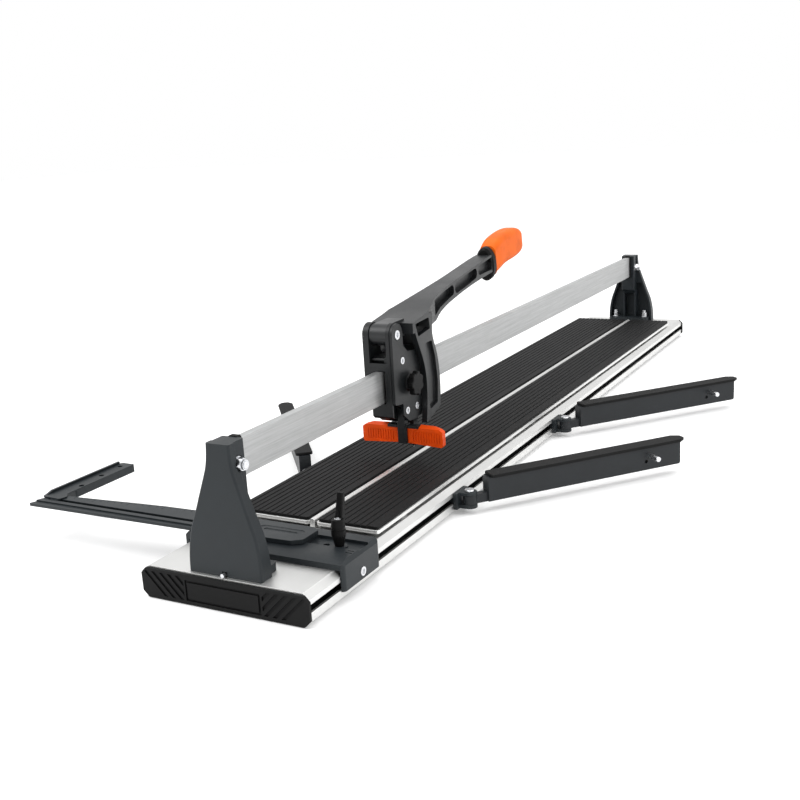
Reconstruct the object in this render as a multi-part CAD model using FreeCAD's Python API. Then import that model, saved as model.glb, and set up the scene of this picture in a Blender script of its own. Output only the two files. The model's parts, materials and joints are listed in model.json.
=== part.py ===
import FreeCAD, Part
import math
import os

V = FreeCAD.Vector

# Manual tile cutter for tiles up to 1200 mm long.  Millimetres, +Z up, +Y along the guide bar
# towards the far pylon, X = 0 on the guide bar's centre plane, Z = 0 on the floor.

# ---------------------------------------------------------------- driving dimensions
BASE_HALF_WIDTH = 102.5
BASE_FRONT = -724.0
BASE_REAR = 710.0
FAR_END_SHIFT = 14.0
BASE_BOTTOM = 6.0
BASE_TOP = 35.5
BASE_CHAMFER = 6.5
CAP_DEPTH = 3.5
CAP_OVERHANG = 2.0
CAP_TOP = 34.0
CAP_BOTTOM = 1.0

BAR_HALF_THICKNESS = 5.0
BAR_BOTTOM = 130.0
BAR_TOP = 170.5
BAR_HALF_LENGTH = 706.0

PYLON_OUTER_FOOT = 720.0
PYLON_OUTER_TOP = 712.0
PYLON_INNER_TOP = 685.0
PYLON_INNER_FOOT = 702.0
PYLON_ROOF = 173.0
PYLON_WALL = 4.0

CUT_X = 11.5
TILE_TOP = 57.0
BED_TOP = 47.0
BED_HALF_LENGTH = 575.0

PIVOT_Y = -372.0
PIVOT_Z = 215.0
NOSE_RADIUS = 13.5
EAR_RADIUS = 15.0
HEAD_HALF_WIDTH = 21.0
HEAD_FRONT = -387.0
HEAD_REAR = -303.0
HEAD_TOP = 188.0
SLOT_LEFT = -6.0
SLOT_RIGHT = 8.5
PUSH_PIN_Y = -379.5
PUSH_PIN_Z = 184.4
PUSH_PIN_RADIUS = 2.4
COVER_INNER = 17.0
CHANNEL_FRONT = -384.3
CHANNEL_REAR = -319.7

ROLLER_RADIUS = 7.5
ROLLER_AXLE_RADIUS = 2.0
ROLLER_FRONT_Y = -352.0
ROLLER_REAR_Y = -311.5
LOWER_FRONT_Y = -374.0
AXLE_END = 6.2

FOOT_FRONT = -354.0
FOOT_REAR = -346.0
FOOT_SPANS = {-1: 59.8, 1: 55.8}
FOOT_INNER = 6.5
FOOT_SHELF_REACH = 22.3
FOOT_SHELF_LOW = 90.4

WHEEL_RADIUS = 8.0
WHEEL_Y = -326.0
KNOB_Y = -347.0
KNOB_Z = 148.5

CHEEK_INNER = 22.0
CHEEK_OUTER = 29.5
GRIP_TILT = 7.5

SIDE_ARM_PIVOT_X = 118.0
SIDE_ARM_LENGTH = 303.0
SIDE_ARM_ANGLE = 50.5
SIDE_ARM_PIVOTS_Y = (-388.0, -47.0)
SIDE_ROD_REACH = 254.0
SIDE_ROD_Z = 32.5

RUN_CLEARANCE = 0.05


# ---------------------------------------------------------------- shape helpers
def box(x0, x1, y0, y1, z0, z1):
    return Part.makeBox(x1 - x0, y1 - y0, z1 - z0, V(x0, y0, z0))


def rod_x(y, z, radius, x0, x1):
    return Part.makeCylinder(radius, x1 - x0, V(x0, y, z), V(1, 0, 0))


def rod_y(x, z, radius, y0, y1):
    return Part.makeCylinder(radius, y1 - y0, V(x, y0, z), V(0, 1, 0))


def rod_z(x, y, radius, z0, z1):
    return Part.makeCylinder(radius, z1 - z0, V(x, y, z0), V(0, 0, 1))


def cone_z(x, y, radius_low, radius_high, z0, z1):
    return Part.makeCone(radius_low, radius_high, z1 - z0, V(x, y, z0), V(0, 0, 1))


def prism(points, direction):
    """Straight-sided outline pushed along a direction."""
    wire = Part.makePolygon(list(points) + [points[0]])
    return Part.Face(wire).extrude(direction)


def prism_yz(outline, x0, x1):
    return prism([V(x0, y, z) for y, z in outline], V(x1 - x0, 0, 0))


def prism_xz(outline, y0, y1):
    return prism([V(x, y0, z) for x, z in outline], V(0, y1 - y0, 0))


def prism_xy(outline, z0, z1):
    return prism([V(x, y, z0) for x, y in outline], V(0, 0, z1 - z0))


def rounded(points, radius):
    """Closed wire through coplanar corners, each corner turned by an arc."""
    edges = []
    starts = []
    ends = []
    arcs = []
    count = len(points)
    for i, corner in enumerate(points):
        before = (points[i - 1] - corner)
        after = (points[(i + 1) % count] - corner)
        r = radius[i] if isinstance(radius, (list, tuple)) else radius
        before_dir = V(before).normalize()
        after_dir = V(after).normalize()
        half = before_dir.getAngle(after_dir) / 2
        reach = r / math.tan(half)
        enter = corner + before_dir * reach
        leave = corner + after_dir * reach
        middle_dir = (before_dir + after_dir).normalize()
        middle = corner + middle_dir * (r / math.sin(half) - r)
        starts.append(enter)
        ends.append(leave)
        arcs.append(middle)
    for i in range(count):
        if starts[i].distanceToPoint(ends[i]) > 1e-6:
            edges.append(Part.Arc(starts[i], arcs[i], ends[i]).toShape())
        following = starts[(i + 1) % count]
        if ends[i].distanceToPoint(following) > 1e-6:
            edges.append(Part.LineSegment(ends[i], following).toShape())
    return Part.Wire(edges)


def rounded_prism(points, radius, direction):
    return Part.Face(rounded(points, radius)).extrude(direction)


def round_yz(outline, radius, x0, x1):
    return rounded_prism([V(x0, y, z) for y, z in outline], radius, V(x1 - x0, 0, 0))


def round_xz(outline, radius, y0, y1):
    return rounded_prism([V(x, y0, z) for x, z in outline], radius, V(0, y1 - y0, 0))


def round_xy(outline, radius, z0, z1):
    return rounded_prism([V(x, y, z0) for x, y in outline], radius, V(0, 0, z1 - z0))


def rectangle(a0, a1, b0, b1):
    return [(a0, b0), (a1, b0), (a1, b1), (a0, b1)]


def far_end(shape):
    """The matching piece for the far end of the base."""
    other = shape.mirror(V(0, 0, 0), V(0, 1, 0))
    other.translate(V(0, -FAR_END_SHIFT, 0))
    return other


def mirror_x(shape):
    return shape.mirror(V(0, 0, 0), V(1, 0, 0))


def hexagon_x(y, z, across_flats, x0, x1):
    radius = across_flats / math.sqrt(3)
    outline = [
        (y + radius * math.cos(math.radians(60 * i)), z + radius * math.sin(math.radians(60 * i)))
        for i in range(6)
    ]
    return prism_yz(outline, x0, x1)


def hexagon_z(x, y, across_flats, z0, z1):
    radius = across_flats / math.sqrt(3)
    outline = [
        (x + radius * math.cos(math.radians(60 * i)), y + radius * math.sin(math.radians(60 * i)))
        for i in range(6)
    ]
    return prism_xy(outline, z0, z1)


def save(name, *shapes):
    shape = shapes[0] if len(shapes) == 1 else Part.makeCompound(list(shapes))
    shape.exportStep("parts/" + name + ".step")


# ---------------------------------------------------------------- base
GROOVE_LOW = 15.0
GROOVE_HIGH = 23.5
GROOVE_MOUTH = 3.0
GROOVE_DEPTH = 13.0
STRIP_HALF_WIDTH = 3.0


def base_extrusion():
    w = BASE_HALF_WIDTH
    c = BASE_CHAMFER
    outline = [(-w, BASE_BOTTOM), (w, BASE_BOTTOM), (w, BASE_TOP - c), (w - c, BASE_TOP),
               (c - w, BASE_TOP), (-w, BASE_TOP - c)]
    body = prism_xz(outline, BASE_FRONT, BASE_REAR)
    cuts = []
    for side in (-1, 1):
        mouth = sorted((side * (w + 1), side * (w - GROOVE_DEPTH)))
        cuts.append(box(mouth[0], mouth[1], BASE_FRONT, BASE_REAR, GROOVE_LOW, GROOVE_HIGH))
        inner = sorted((side * (w - GROOVE_MOUTH), side * (w - GROOVE_DEPTH)))
        cuts.append(box(inner[0], inner[1], BASE_FRONT, BASE_REAR, GROOVE_LOW - 3, GROOVE_HIGH + 3))
    chambers = ((-84, -44), (-40, -4), (0, 40), (44, 84))
    for x0, x1 in chambers:
        cuts.append(box(x0, x1, BASE_FRONT, BASE_REAR, BASE_BOTTOM + 3, BASE_TOP - 3.5))
    for x in (-FLANGE_BOLT_X, FLANGE_BOLT_X):
        for y in (FLANGE_BOLT_Y, -FLANGE_BOLT_Y - FAR_END_SHIFT):
            cuts.append(rod_z(x, y, 3, BASE_TOP - 4, BASE_TOP + 1))
    return body.cut(Part.makeCompound(cuts))


def end_cap():
    """Moulded rubber cap with slanted ribs on both sides of a plain raised panel."""
    w = BASE_HALF_WIDTH + CAP_OVERHANG
    front = BASE_FRONT - CAP_DEPTH
    outline = [(7 - w, CAP_BOTTOM), (w - 7, CAP_BOTTOM), (w, CAP_BOTTOM + 7), (w, CAP_TOP - 6),
               (w - 6, CAP_TOP), (6 - w, CAP_TOP), (-w, CAP_TOP - 6), (-w, CAP_BOTTOM + 7)]
    body = round_xz(outline, 1.5, front, BASE_FRONT)
    groove_depth = 1.6
    low = CAP_BOTTOM + 4
    high = CAP_TOP - 3
    lean = high - low
    ribbed_zone = box(5 - w, -49, front - 2, front + 3, low - 1, high + 1)
    grooves = []
    for i in range(5):
        x = -w + 3 + 10.5 * i
        slant = [(x + lean, low), (x + lean + 4.6, low), (x + 4.6, high), (x, high)]
        groove = prism_xz(slant, front - 1, front + groove_depth).common(ribbed_zone)
        grooves.append(groove)
        grooves.append(mirror_x(groove))
    panel_gap = box(-47, 47, front - 1, front + groove_depth, low, high - 3)
    panel = box(-44.5, 44.5, front - 2, front + 2, low + 2.5, high - 5.5)
    return body.cut(Part.makeCompound(grooves)).cut(panel_gap.cut(panel))


def rubber_feet():
    feet = []
    for x in (-80, 0, 80):
        for y in (-640, 0, 640):
            feet.append(cone_z(x, y, 14, 15, 0, BASE_BOTTOM))
    return feet


# ---------------------------------------------------------------- guide bar and pylons
CROSS_BOLT_Y = -696.5
CROSS_BOLT_Z = 149.0
CROSS_BOLT_RADIUS = 4.0
PYLON_HALF_WIDTHS = [(45.2, BASE_TOP), (44.6, 57.0), (42.8, 70.0), (39.7, 83.0), (34.7, 96.6),
                     (28.2, 115.0), (20.8, 136.0), (16.8, 149.0), (15.2, 161.0),
                     (14.6, PYLON_ROOF)]
PYLON_COLUMN_HALF = 13.0
SPOT_FACE_X = 11.0
FLANGE_BOLT_X = 30.2
FLANGE_BOLT_Y = -701.0
FLANGE_TOP = 44.0


def pylon_outline(inset, bottom, top):
    """Flared pylon outline in the XZ plane, smooth sides, flat top and bottom."""
    right = [V(half - inset, 0, z) for half, z in PYLON_HALF_WIDTHS if bottom <= z <= top]
    left = [V(-p.x, 0, p.z) for p in right]
    right_curve = Part.BSplineCurve()
    right_curve.interpolate(right)
    left_curve = Part.BSplineCurve()
    left_curve.interpolate(left)
    edges = [right_curve.toShape(),
             Part.LineSegment(right[-1], left[-1]).toShape(),
             left_curve.toShape(),
             Part.LineSegment(left[0], right[0]).toShape()]
    return Part.Face(Part.Wire(Part.__sortEdges__(edges)))


def pylon():
    """Near pylon: a flared cast shell with a column behind it that takes the bar."""
    face = pylon_outline(0, BASE_TOP, PYLON_ROOF)
    face.translate(V(0, -PYLON_OUTER_FOOT, 0))
    shell = face.extrude(V(0, PYLON_OUTER_FOOT - PYLON_INNER_FOOT, 0))
    lean = [(-PYLON_OUTER_FOOT - 1, BASE_TOP), (-PYLON_OUTER_FOOT, BASE_TOP),
            (-PYLON_OUTER_TOP, PYLON_ROOF), (-PYLON_OUTER_TOP, PYLON_ROOF + 1),
            (-PYLON_OUTER_FOOT - 1, PYLON_ROOF + 1)]
    shell = shell.cut(prism_yz(lean, -60, 60))
    shell = shell.makeFillet(2.6, outer_pylon_edges(shell))
    hollow = pylon_outline(PYLON_WALL, BASE_TOP, 115.0)
    hollow.translate(V(0, -PYLON_OUTER_FOOT + 7, 0))
    shell = shell.cut(hollow.extrude(V(0, 30, 0)))
    column = prism_yz([(-PYLON_INNER_FOOT - 3, PYLON_ROOF), (-PYLON_INNER_FOOT - 3, 96),
                       (-PYLON_INNER_FOOT, 92), (-PYLON_INNER_TOP, 103),
                       (-PYLON_INNER_TOP, PYLON_ROOF)], -PYLON_COLUMN_HALF, PYLON_COLUMN_HALF)
    column = column.makeFillet(1.5, [e for e in column.Edges
                                     if e.BoundBox.YMin > -PYLON_INNER_TOP - 0.1
                                     and e.BoundBox.ZLength > 10])
    ribs = [box(x - 1.5, x + 1.5, -PYLON_OUTER_FOOT + 6, -PYLON_INNER_FOOT + 6, BASE_TOP, 98)
            for x in (-11.8, 11.8)]
    flange_outline = [(-40, -714), (40, -714), (40, -683), (-40, -683)]
    flange = round_xy(flange_outline, [1, 1, 6, 6], BASE_TOP, FLANGE_TOP)
    body = shell.fuse([column] + ribs + [flange])
    socket = box(-BAR_HALF_THICKNESS, BAR_HALF_THICKNESS, -BAR_HALF_LENGTH, -600,
                 BAR_BOTTOM, BAR_TOP)
    body = body.cut(socket)
    bolt_hole = rod_x(CROSS_BOLT_Y, CROSS_BOLT_Z, CROSS_BOLT_RADIUS, -30, 30)
    spot_faces = [rod_x(CROSS_BOLT_Y, CROSS_BOLT_Z, 9, SPOT_FACE_X, 30),
                  rod_x(CROSS_BOLT_Y, CROSS_BOLT_Z, 9, -30, -SPOT_FACE_X)]
    holes = [rod_z(side * FLANGE_BOLT_X, FLANGE_BOLT_Y, 3, 30, 60) for side in (-1, 1)]
    notch = box(-3, 3, -PYLON_OUTER_FOOT - 1, -PYLON_OUTER_FOOT + 8, BASE_TOP - 1, BASE_TOP + 5.5)
    body = body.cut(Part.makeCompound([bolt_hole] + spot_faces + holes + [notch]))
    return body.removeSplitter()


def outer_pylon_edges(shell):
    """The long upright edges of the pylon's outer face."""
    chosen = []
    for edge in shell.Edges:
        bounds = edge.BoundBox
        at_outer_face = bounds.YMax < -PYLON_OUTER_TOP + 0.5
        if at_outer_face and bounds.ZLength > 50:
            chosen.append(edge)
    return chosen


def guide_bar():
    far = BAR_HALF_LENGTH - FAR_END_SHIFT
    body = box(-BAR_HALF_THICKNESS, BAR_HALF_THICKNESS, -BAR_HALF_LENGTH, far, BAR_BOTTOM, BAR_TOP)
    long_edges = [e for e in body.Edges if e.BoundBox.YLength > 100]
    body = body.makeFillet(0.6, long_edges)
    holes = [rod_x(y, CROSS_BOLT_Z, CROSS_BOLT_RADIUS, -10, 10)
             for y in (CROSS_BOLT_Y, -CROSS_BOLT_Y - FAR_END_SHIFT)]
    return body.cut(Part.makeCompound(holes))


def cross_bolt():
    """Cap screw through the pylon and the bar, its head on the left."""
    shank = rod_x(CROSS_BOLT_Y, CROSS_BOLT_Z, CROSS_BOLT_RADIUS, -SPOT_FACE_X - 1.6, 22.8)
    head = rod_x(CROSS_BOLT_Y, CROSS_BOLT_Z, 6.5, -SPOT_FACE_X - 9.6, -SPOT_FACE_X - 1.6)
    socket = hexagon_x(CROSS_BOLT_Y, CROSS_BOLT_Z, 6, -23, -SPOT_FACE_X - 5.6)
    return shank.fuse(head).cut(socket)


def cross_nut():
    """Plain washer and a lock nut with a domed collar, on the right."""
    seat = SPOT_FACE_X + 1.6
    top = seat + 6.4
    washer = rod_x(CROSS_BOLT_Y, CROSS_BOLT_Z, 8.0, SPOT_FACE_X, seat)
    nut = hexagon_x(CROSS_BOLT_Y, CROSS_BOLT_Z, 13, seat, top)
    round_off = Part.makeCone(9.0, 5.6, 8, V(seat, CROSS_BOLT_Y, CROSS_BOLT_Z), V(1, 0, 0))
    collar = rod_x(CROSS_BOLT_Y, CROSS_BOLT_Z, 5.4, top, top + 2.8)
    bore = rod_x(CROSS_BOLT_Y, CROSS_BOLT_Z, CROSS_BOLT_RADIUS, -30, 30)
    left_washer = rod_x(CROSS_BOLT_Y, CROSS_BOLT_Z, 8.0, -seat, -SPOT_FACE_X)
    return [washer.cut(bore), nut.common(round_off).fuse(collar).cut(bore),
            left_washer.cut(bore)]


def pylon_base_bolts():
    """Hexagon bolts on the flange and a set screw in the notch of the outer face."""
    parts = []
    for side in (-1, 1):
        x = side * FLANGE_BOLT_X
        shank = rod_z(x, FLANGE_BOLT_Y, 3, BASE_TOP - 3.5, FLANGE_TOP)
        washer = rod_z(x, FLANGE_BOLT_Y, 6.5, FLANGE_TOP, FLANGE_TOP + 1.5)
        nut = hexagon_z(x, FLANGE_BOLT_Y, 9.5, FLANGE_TOP + 1.5, FLANGE_TOP + 8.5)
        end = rod_z(x, FLANGE_BOLT_Y, 3.4, FLANGE_TOP + 8.5, FLANGE_TOP + 13.5)
        parts.append(shank.fuse([washer, nut, end]))
    parts.append(rod_y(0, BASE_TOP + 2.7, 2.2, -PYLON_OUTER_FOOT - 4.4, -PYLON_OUTER_FOOT + 8))
    return parts


def bar_bumper():
    """Rubber stop for the carriage, pushed over the bar against the pylon."""
    front = -PYLON_INNER_TOP
    body = round_xz([(-6.8, 128), (6.6, 128), (6.6, 174), (-6.8, 174)], [1, 1, 3, 3],
                    front, front + 6)
    slot = box(-BAR_HALF_THICKNESS, BAR_HALF_THICKNESS, front - 5, front + 10, BAR_BOTTOM, BAR_TOP)
    return body.cut(slot).removeSplitter()


# ---------------------------------------------------------------- tile bed
def breaking_strip():
    outline = [(CUT_X - STRIP_HALF_WIDTH, BASE_TOP), (CUT_X + STRIP_HALF_WIDTH, BASE_TOP),
               (CUT_X + STRIP_HALF_WIDTH, BED_TOP - 2), (CUT_X + 1.2, BED_TOP),
               (CUT_X - 1.2, BED_TOP), (CUT_X - STRIP_HALF_WIDTH, BED_TOP - 2)]
    return prism_xz(outline, -BED_HALF_LENGTH, BED_HALF_LENGTH + 60)


BED_PLATE_BOTTOM = 39.5
BED_PLATE_TOP = 43.5
BED_EDGES = {"left": (-96.0, CUT_X - STRIP_HALF_WIDTH - 1.5),
             "right": (CUT_X + STRIP_HALF_WIDTH + 1.5, 96.0)}


def bed_plate(x0, x1):
    outline = rectangle(x0, x1, -BED_HALF_LENGTH, BED_HALF_LENGTH + 60)
    return round_xy(outline, 4, BED_PLATE_BOTTOM, BED_PLATE_TOP)


def bed_pad(x0, x1):
    outline = rectangle(x0 + 2, x1 - 2, -BED_HALF_LENGTH + 2, BED_HALF_LENGTH + 58)
    pad = round_xy(outline, 3, BED_PLATE_TOP, BED_TOP)
    grooves = []
    count = int((x1 - x0 - 12) // 8)
    for i in range(count):
        x = x0 + 8 + 8 * i
        grooves.append(box(x, x + 1.6, -BED_HALF_LENGTH - 5, BED_HALF_LENGTH + 65,
                           BED_TOP - 1.0, BED_TOP + 1))
    return pad.cut(Part.makeCompound(grooves))


def bed_springs(x0, x1):
    """Wave springs under a bed plate, seen as rings with a pinched waist."""
    springs = []
    low = BASE_TOP
    high = BED_PLATE_BOTTOM
    for x in (x0 + 14, x1 - 14):
        for y in (-500, -180, 180, 500):
            half = (high - low) / 2
            lower = Part.makeCone(8, 6.5, half, V(x, y, low), V(0, 0, 1))
            upper = Part.makeCone(6.5, 8, half, V(x, y, low + half), V(0, 0, 1))
            bore = rod_z(x, y, 5, low - 1, high + 1)
            springs.append(lower.fuse(upper).cut(bore))
    return springs


# ---------------------------------------------------------------- angle fence
SADDLE_FRONT = -666.5
SADDLE_REAR = -592.5
SADDLE_LEFT_FRONT = -650.0
SADDLE_TOP = 44.5
SADDLE_HALF = 107.0
SADDLE_SCREW_Y = -628.5
SADDLE_SCREW_Z = 21.0
LEVER_X = 77.0
LEVER_Y = -623.5
FENCE_PIVOT = (CUT_X, -622.0)
FENCE_PIVOT_RADIUS = 5.0
RULER_LEFT = -346.5
RULER_BOTTOM = 44.8
RULER_TOP = 50.0


def fence_saddle():
    """Casting that straddles the base and carries the fence."""
    low = 13.0
    inner = BASE_HALF_WIDTH + 0.3
    outline = [(-SADDLE_HALF, low), (-inner, low), (-inner, BASE_TOP),
               (inner, BASE_TOP), (inner, low), (SADDLE_HALF, low),
               (SADDLE_HALF, SADDLE_TOP - 4), (SADDLE_HALF - 4, SADDLE_TOP),
               (4 - SADDLE_HALF, SADDLE_TOP), (-SADDLE_HALF, SADDLE_TOP - 4)]
    body = prism_xz(outline, SADDLE_FRONT, SADDLE_REAR)
    front_slope = prism_yz([(SADDLE_FRONT - 1, SADDLE_TOP - 2.6), (SADDLE_FRONT, SADDLE_TOP - 2.6),
                            (SADDLE_FRONT + 14, SADDLE_TOP), (SADDLE_FRONT + 14, SADDLE_TOP + 1),
                            (SADDLE_FRONT - 1, SADDLE_TOP + 1)], -120, 120)
    body = body.cut(front_slope)
    corner = [e for e in body.Edges
              if e.BoundBox.YLength < 0.1 and e.BoundBox.XLength < 0.1
              and abs(e.BoundBox.XMin) > SADDLE_HALF - 0.5]
    body = body.makeFillet(5.0, corner)
    body = body.cut(box(-120, -50, SADDLE_FRONT - 1, SADDLE_LEFT_FRONT, 0, 60))
    channel = round_xy(rectangle(40, 104, -631, -608), 3, SADDLE_TOP - 3.5, SADDLE_TOP + 1)
    boss = rod_z(LEVER_X, LEVER_Y, 8.5, SADDLE_TOP - 4, SADDLE_TOP - 1.5)
    body = body.cut(channel).fuse(boss)
    cuts = [rod_z(60, LEVER_Y + 1, 3.6, 30, 50),
            rod_z(LEVER_X, LEVER_Y, 3, 30, 50),
            rod_z(FENCE_PIVOT[0], FENCE_PIVOT[1], FENCE_PIVOT_RADIUS, 30, 50)]
    for y in (-641, -636):
        cuts.append(box(94, 102, y, y + 1.5, SADDLE_TOP - 0.8, SADDLE_TOP + 1))
    for side in (-1, 1):
        spot = sorted((side * 105.5, side * 112))
        cuts.append(rod_x(SADDLE_SCREW_Y, SADDLE_SCREW_Z, 2.4, *sorted((side * 90, side * 112))))
        cuts.append(rod_x(SADDLE_SCREW_Y, SADDLE_SCREW_Z, 5.2, *spot))
    return body.cut(Part.makeCompound(cuts)).removeSplitter()


def saddle_screws():
    screws = []
    for side in (-1, 1):
        shank = rod_x(SADDLE_SCREW_Y, SADDLE_SCREW_Z, 2.4, *sorted((side * 92, side * 105.5)))
        head = rod_x(SADDLE_SCREW_Y, SADDLE_SCREW_Z, 5.0, *sorted((side * 105.5, side * 107.6)))
        socket = hexagon_x(SADDLE_SCREW_Y, SADDLE_SCREW_Z, 5, *sorted((side * 106.2, side * 109)))
        screws.append(shank.fuse(head).cut(socket))
    return screws


def fence_pivot_pin():
    """Pin standing on the base, hidden under the plate it turns."""
    return rod_z(FENCE_PIVOT[0], FENCE_PIVOT[1], FENCE_PIVOT_RADIUS, BASE_TOP, RULER_TOP - 2.2)


def angle_plate():
    """Pivoting plate that carries the ruler; its right end is cut to a tongue."""
    outline = [(-60, -647.5), (30, -645), (41, -637), (41.5, -608), (34, -602.5), (-60, -602.5)]
    plate = round_xy(outline, [0.5, 6, 6, 4, 3, 0.5], RULER_BOTTOM, RULER_TOP)
    slot = round_xy(rectangle(-19, 24, -625.4, -620.4), 2.4, RULER_TOP - 1.6, RULER_TOP + 1)
    slot_rim = round_xy(rectangle(-27, 32, -631, -615), 7.5, RULER_TOP - 0.7, RULER_TOP + 1)
    pivot = rod_z(FENCE_PIVOT[0], FENCE_PIVOT[1], FENCE_PIVOT_RADIUS + RUN_CLEARANCE,
                  RULER_BOTTOM - 1, RULER_TOP - 2.0)
    return plate.cut(Part.makeCompound([slot, slot_rim, pivot]))


RULER_REAR_EDGE = [(-60.0, -602.5), (-170.0, -606.0), (-235.0, -612.0), (-309.0, -618.5)]
STOP_GROOVE = (-636.7, -630.9)


def ruler_rear(x):
    """Where the ruler's rear edge lies at x."""
    for (x1, y1), (x0, y0) in zip(RULER_REAR_EDGE, RULER_REAR_EDGE[1:]):
        if x >= x0:
            return y0 + (y1 - y0) * (x - x0) / (x1 - x0)
    return RULER_REAR_EDGE[-1][1]


def ruler_rail():
    """Graduated fence rail, narrowing to its free end, with a groove for the side stop."""
    outline = [(RULER_LEFT, -651.5), (-60, -647.5)] + RULER_REAR_EDGE + [(-334, -621)]
    rail = round_xy(outline, [1, 0.5, 0.5, 3, 3, 3, 3], RULER_BOTTOM, RULER_TOP)
    front, rear = STOP_GROOVE
    left = RULER_LEFT + 16
    groove = box(left, -66, front, rear, RULER_TOP - 2.8, RULER_TOP + 1)
    undercut = box(left, -66, front - 2.5, rear + 2.5, RULER_BOTTOM + 1.0, RULER_TOP - 1.6)
    step = box(RULER_LEFT - 1, -61, -652, -643, RULER_TOP - 1.6, RULER_TOP + 1)
    ticks = []
    spacing = 10.0
    count = int((-70 - (RULER_LEFT + 45)) // spacing) + 1
    for i in range(count):
        x = -70 - spacing * i
        reach = 7.5 if i % 5 == 0 else 4.5
        end = ruler_rear(x) - 2.0
        ticks.append(box(x - 0.3, x + 0.3, end - reach, end, RULER_TOP - 0.4, RULER_TOP + 1))
    return rail.cut(Part.makeCompound([groove, undercut, step] + ticks))


def side_stop():
    """Bracket on the ruler's free end with a long leg beside the tile."""
    low = RULER_TOP + 0.3
    high = low + 1.5
    leg = [(-342.5, -633), (-342.5, -501), (-338, -495.5), (-319, -495.5), (-318.3, -615.5),
           (-310.5, -624.5), (-313, -634.5)]
    top = round_xy(leg, [3, 3, 3, 1, 6, 2, 2], low, high)
    beam = round_xy([(-342.5, -601.5), (-342.5, -501), (-338, -495.5), (-319, -495.5),
                     (-318.3, -601.5)], [2, 3, 3, 1, 2], BED_TOP - 5.5, low)
    lip = round_xy([(-342.5, -619), (-342.5, -500), (-339, -500), (-339, -619)], 1, low, high + 3)
    ramp = prism_yz([(-631, high - 0.5), (-618, high - 0.5), (-618, high + 3)], -342.5, -339)
    holes = []
    for x, y in ((-323, -587), (-327.5, -547), (-330.5, -509.5)):
        holes.append(rod_z(x, y, 3.4, low - 2.5, high + 4))
    front, rear = STOP_GROOVE
    tongue = box(-327.5, -314, front + 0.5, rear - 0.5, RULER_TOP - 2.6, low)
    body = top.fuse([beam, lip, ramp, tongue]).cut(Part.makeCompound(holes))
    return body.removeSplitter()


def clamp_lever():
    """Adjustable clamping lever: splined hub, tapered handle rising from it."""
    seat = SADDLE_TOP - 1.3
    stud = rod_z(LEVER_X, LEVER_Y, 2.9, BASE_TOP + 1.2, seat + 2)
    foot = cone_z(LEVER_X, LEVER_Y, 5.0, 7.4, seat, seat + 12)
    drum = rod_z(LEVER_X, LEVER_Y, 7.8, seat + 12, seat + 18)
    collar = rod_z(LEVER_X, LEVER_Y, 7.1, seat + 18, seat + 21.5)
    neck = cone_z(LEVER_X, LEVER_Y, 7.7, 6.4, seat + 21.5, seat + 29.5)
    handle_low = rounded([V(LEVER_X - 5.0, LEVER_Y - 3, seat + 14),
                          V(LEVER_X + 5.0, LEVER_Y - 3, seat + 14),
                          V(LEVER_X + 5.0, LEVER_Y + 6, seat + 14),
                          V(LEVER_X - 5.0, LEVER_Y + 6, seat + 14)], 2)
    handle_high = rounded([V(LEVER_X - 3.8, LEVER_Y + 7, seat + 56),
                           V(LEVER_X + 3.8, LEVER_Y + 7, seat + 56),
                           V(LEVER_X + 3.8, LEVER_Y + 13, seat + 56),
                           V(LEVER_X - 3.8, LEVER_Y + 13, seat + 56)], 1.6)
    handle = Part.makeLoft([handle_low, handle_high], True, True)
    screw_well = rod_z(LEVER_X, LEVER_Y, 3.6, seat + 28.0, seat + 46)
    splines = []
    for i in range(12):
        angle = math.radians(30 * i)
        splines.append(rod_z(LEVER_X + 7.6 * math.cos(angle), LEVER_Y + 7.6 * math.sin(angle), 0.8,
                             seat - 1, seat + 12.5))
    hub = foot.fuse([drum, collar, neck, stud]).cut(Part.makeCompound(splines))
    return hub.fuse(handle).cut(screw_well).removeSplitter()


def clamp_lever_screw():
    seat = SADDLE_TOP - 1.3
    head = rod_z(LEVER_X, LEVER_Y, 3.5, seat + 28.0, seat + 30.2)
    return head.cut(hexagon_z(LEVER_X, LEVER_Y, 3, seat + 29.0, seat + 32))


# ---------------------------------------------------------------- folding side supports
ARM_LOW = 13.0
ARM_HIGH = 43.0
HINGE_PIN_RADIUS = 4.0
KNUCKLE_RADIUS = 8.5


def arm_bracket(y):
    """Hinge bracket bolted to the base's side groove: two lugs round the arm's knuckle."""
    plate = box(BASE_HALF_WIDTH, 108, y - 16, y + 16, 8, 28.5)
    tee = box(BASE_HALF_WIDTH - 6, BASE_HALF_WIDTH + 0.3, y - 14, y + 14, GROOVE_LOW + 0.3,
              GROOVE_HIGH - 0.3)
    lugs = []
    for z0, z1 in ((8.0, 12.5), (24.5, 28.5)):
        lug = box(107, SIDE_ARM_PIVOT_X, y - 9, y + 9, z0, z1)
        lugs.append(lug.fuse(rod_z(SIDE_ARM_PIVOT_X, y, 9, z0, z1)))
    hole = rod_z(SIDE_ARM_PIVOT_X, y, HINGE_PIN_RADIUS, 0, 60)
    return plate.fuse([tee] + lugs).cut(hole).removeSplitter()


def arm_hinge_pin(y):
    pin = rod_z(SIDE_ARM_PIVOT_X, y, HINGE_PIN_RADIUS, 7.0, 28.5)
    head = rod_z(SIDE_ARM_PIVOT_X, y, 6.0, 28.5, 31.0)
    return pin.fuse(head)


def place_arm(shape, y):
    """Turn a shape built along +X from the hinge to its open angle at hinge y."""
    shape.rotate(V(0, 0, 0), V(0, 0, 1), SIDE_ARM_ANGLE)
    shape.translate(V(SIDE_ARM_PIVOT_X, y, 0))
    return shape


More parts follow.
